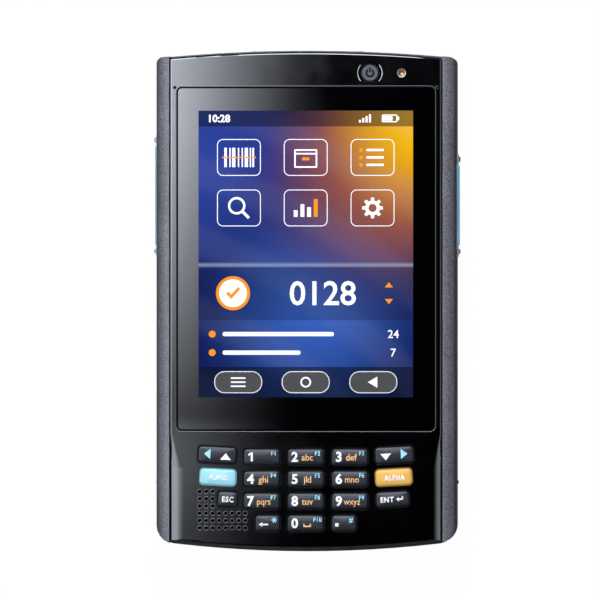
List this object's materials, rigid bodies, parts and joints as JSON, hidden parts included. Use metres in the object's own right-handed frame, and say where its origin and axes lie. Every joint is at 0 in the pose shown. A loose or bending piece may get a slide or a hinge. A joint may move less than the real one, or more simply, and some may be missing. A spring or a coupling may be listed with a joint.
{
  "type": "portable barcode data terminal",
  "caption": "Rugged handheld data terminal with a portrait touch display over a small keypad, side triggers, a scan window in its end and a hinged battery lid.",
  "frame": {"origin": "middle of the flat back, at the foot of the terminal as it lies on its back", "axes": "+Z out of the display, +Y to the scanning end, +X to the display's right"},
  "size_m": [0.0826, 0.135, 0.0255],
  "materials": {
    "gloss_black": "polished moulded plastic",
    "display_glass": "hard-coated window with a black border",
    "sensor_glass": "clear",
    "display_tray": "bare",
    "key_black": "fine satin",
    "key_cyan": "fine satin",
    "key_orange": "fine satin",
    "clear_pipe": "clear",
    "circuit_board": "solder mask",
    "silicone": "matt",
    "door_rubber": "matt",
    "black_plastic": "moulded",
    "rail_rubber": "fine spark-eroded texture",
    "surround_grey": "fine satin",
    "trigger_blue": "satin",
    "housing_grey": "fine spark-eroded texture",
    "lid_grey": "fine spark-eroded texture",
    "steel": "bare",
    "magnesium": "cast",
    "brass": "bare",
    "battery_black": "moulded",
    "stylus_grey": "moulded",
    "engine_grey": "black oxide",
    "scan_red": "tinted",
    "camera_glass": "hard coated",
    "ribbon_amber": "film"
  },
  "bodies": {
    "terminal": {"front_cover": "gloss_black", "display_lens": "display_glass", "touch_sensor": "sensor_glass", "lcd_module": "display_tray", "led_light_pipe": "clear_pipe", "keypad_board": "circuit_board", "keypad_mat": "silicone", "button_board": "circuit_board", "speaker": "black_plastic", "left_rail": "rail_rubber", "right_rail": "rail_rubber", "left_trigger_surround": "surround_grey", "right_trigger_surround": "surround_grey", "trigger_switches": "black_plastic", "rear_housing": "housing_grey", "housing_seal": "silicone", "housing_screws": "steel", "strap_inserts": "brass", "battery_pack": "battery_black", "battery_contacts": "brass", "lid_hinge_pin": "steel", "headset_jack": "black_plastic", "dock_connector": "black_plastic", "microphone": "steel", "scan_engine": "engine_grey", "scan_bracket": "steel", "scan_window": "scan_red", "camera_window": "camera_glass", "camera_module": "black_plastic", "main_board": "circuit_board", "board_shields": "steel", "chassis_plate": "magnesium", "display_ribbon": "ribbon_amber", "backup_cell": "steel", "vibration_motor": "steel"},
    "key_left_up": {"key_left_up": "key_black"},
    "key_down_right": {"key_down_right": "key_black"},
    "key_func": {"key_func": "key_cyan"},
    "key_alpha": {"key_alpha": "key_orange"},
    "key_escape": {"key_escape": "key_black"},
    "key_enter": {"key_enter": "key_black"},
    "key_backspace": {"key_backspace": "key_black"},
    "key_point": {"key_point": "key_black"},
    "key_0": {"key_0": "key_black"},
    "key_1": {"key_1": "key_black"},
    "key_2": {"key_2": "key_black"},
    "key_3": {"key_3": "key_black"},
    "key_4": {"key_4": "key_black"},
    "key_5": {"key_5": "key_black"},
    "key_6": {"key_6": "key_black"},
    "key_7": {"key_7": "key_black"},
    "key_8": {"key_8": "key_black"},
    "key_9": {"key_9": "key_black"},
    "power_key": {"power_key": "key_black"},
    "left_trigger": {"left_trigger": "trigger_blue"},
    "right_trigger": {"right_trigger": "trigger_blue"},
    "battery_lid": {"battery_lid": "lid_grey"},
    "lid_latch": {"lid_latch": "surround_grey"},
    "io_door": {"io_door": "door_rubber"},
    "stylus": {"stylus": "stylus_grey"}
  },
  "joints": [
    {"name": "battery_lid_hinge", "type": "hinge", "parent": "terminal", "child": "battery_lid", "pos_m": [0, -0.05, 0.00175], "axis": [-1, 0, 0], "range_deg": [0, 85]},
    {"name": "battery_latch_slide", "type": "slide", "parent": "battery_lid", "child": "lid_latch", "axis": [0, 1, 0], "range_m": [0, 0.0025]},
    {"name": "io_door_hinge", "type": "hinge", "parent": "terminal", "child": "io_door", "pos_m": [-0.0256, -0.0653, 0.0102], "axis": [0, 0, -1], "range_deg": [0, 88]},
    {"name": "left_trigger_press", "type": "slide", "parent": "terminal", "child": "left_trigger", "axis": [1, 0, 0], "range_m": [0, 0.0005], "stiffness_N_per_m": 500},
    {"name": "right_trigger_press", "type": "slide", "parent": "terminal", "child": "right_trigger", "axis": [-1, 0, 0], "range_m": [0, 0.0005], "stiffness_N_per_m": 500},
    {"name": "power_key_press", "type": "slide", "parent": "terminal", "child": "power_key", "axis": [0, 0, -1], "range_m": [0, 0.0004], "stiffness_N_per_m": 300},
    {"name": "stylus_slide", "type": "slide", "parent": "terminal", "child": "stylus", "axis": [0, 1, 0], "range_m": [0, 0.1]},
    {"name": "tap_key_left_up", "type": "slide", "parent": "terminal", "child": "key_left_up", "axis": [0, 0, -1], "range_m": [0, 0.0004], "stiffness_N_per_m": 300},
    {"name": "tap_key_down_right", "type": "slide", "parent": "terminal", "child": "key_down_right", "axis": [0, 0, -1], "range_m": [0, 0.0004], "stiffness_N_per_m": 300},
    {"name": "tap_key_func", "type": "slide", "parent": "terminal", "child": "key_func", "axis": [0, 0, -1], "range_m": [0, 0.0004], "stiffness_N_per_m": 300},
    {"name": "tap_key_alpha", "type": "slide", "parent": "terminal", "child": "key_alpha", "axis": [0, 0, -1], "range_m": [0, 0.0004], "stiffness_N_per_m": 300},
    {"name": "tap_key_escape", "type": "slide", "parent": "terminal", "child": "key_escape", "axis": [0, 0, -1], "range_m": [0, 0.0004], "stiffness_N_per_m": 300},
    {"name": "tap_key_enter", "type": "slide", "parent": "terminal", "child": "key_enter", "axis": [0, 0, -1], "range_m": [0, 0.0004], "stiffness_N_per_m": 300},
    {"name": "tap_key_backspace", "type": "slide", "parent": "terminal", "child": "key_backspace", "axis": [0, 0, -1], "range_m": [0, 0.0004], "stiffness_N_per_m": 300},
    {"name": "tap_key_point", "type": "slide", "parent": "terminal", "child": "key_point", "axis": [0, 0, -1], "range_m": [0, 0.0004], "stiffness_N_per_m": 300},
    {"name": "tap_key_0", "type": "slide", "parent": "terminal", "child": "key_0", "axis": [0, 0, -1], "range_m": [0, 0.0004], "stiffness_N_per_m": 300},
    {"name": "tap_key_1", "type": "slide", "parent": "terminal", "child": "key_1", "axis": [0, 0, -1], "range_m": [0, 0.0004], "stiffness_N_per_m": 300},
    {"name": "tap_key_2", "type": "slide", "parent": "terminal", "child": "key_2", "axis": [0, 0, -1], "range_m": [0, 0.0004], "stiffness_N_per_m": 300},
    {"name": "tap_key_3", "type": "slide", "parent": "terminal", "child": "key_3", "axis": [0, 0, -1], "range_m": [0, 0.0004], "stiffness_N_per_m": 300},
    {"name": "tap_key_4", "type": "slide", "parent": "terminal", "child": "key_4", "axis": [0, 0, -1], "range_m": [0, 0.0004], "stiffness_N_per_m": 300},
    {"name": "tap_key_5", "type": "slide", "parent": "terminal", "child": "key_5", "axis": [0, 0, -1], "range_m": [0, 0.0004], "stiffness_N_per_m": 300},
    {"name": "tap_key_6", "type": "slide", "parent": "terminal", "child": "key_6", "axis": [0, 0, -1], "range_m": [0, 0.0004], "stiffness_N_per_m": 300},
    {"name": "tap_key_7", "type": "slide", "parent": "terminal", "child": "key_7", "axis": [0, 0, -1], "range_m": [0, 0.0004], "stiffness_N_per_m": 300},
    {"name": "tap_key_8", "type": "slide", "parent": "terminal", "child": "key_8", "axis": [0, 0, -1], "range_m": [0, 0.0004], "stiffness_N_per_m": 300},
    {"name": "tap_key_9", "type": "slide", "parent": "terminal", "child": "key_9", "axis": [0, 0, -1], "range_m": [0, 0.0004], "stiffness_N_per_m": 300}
  ]
}
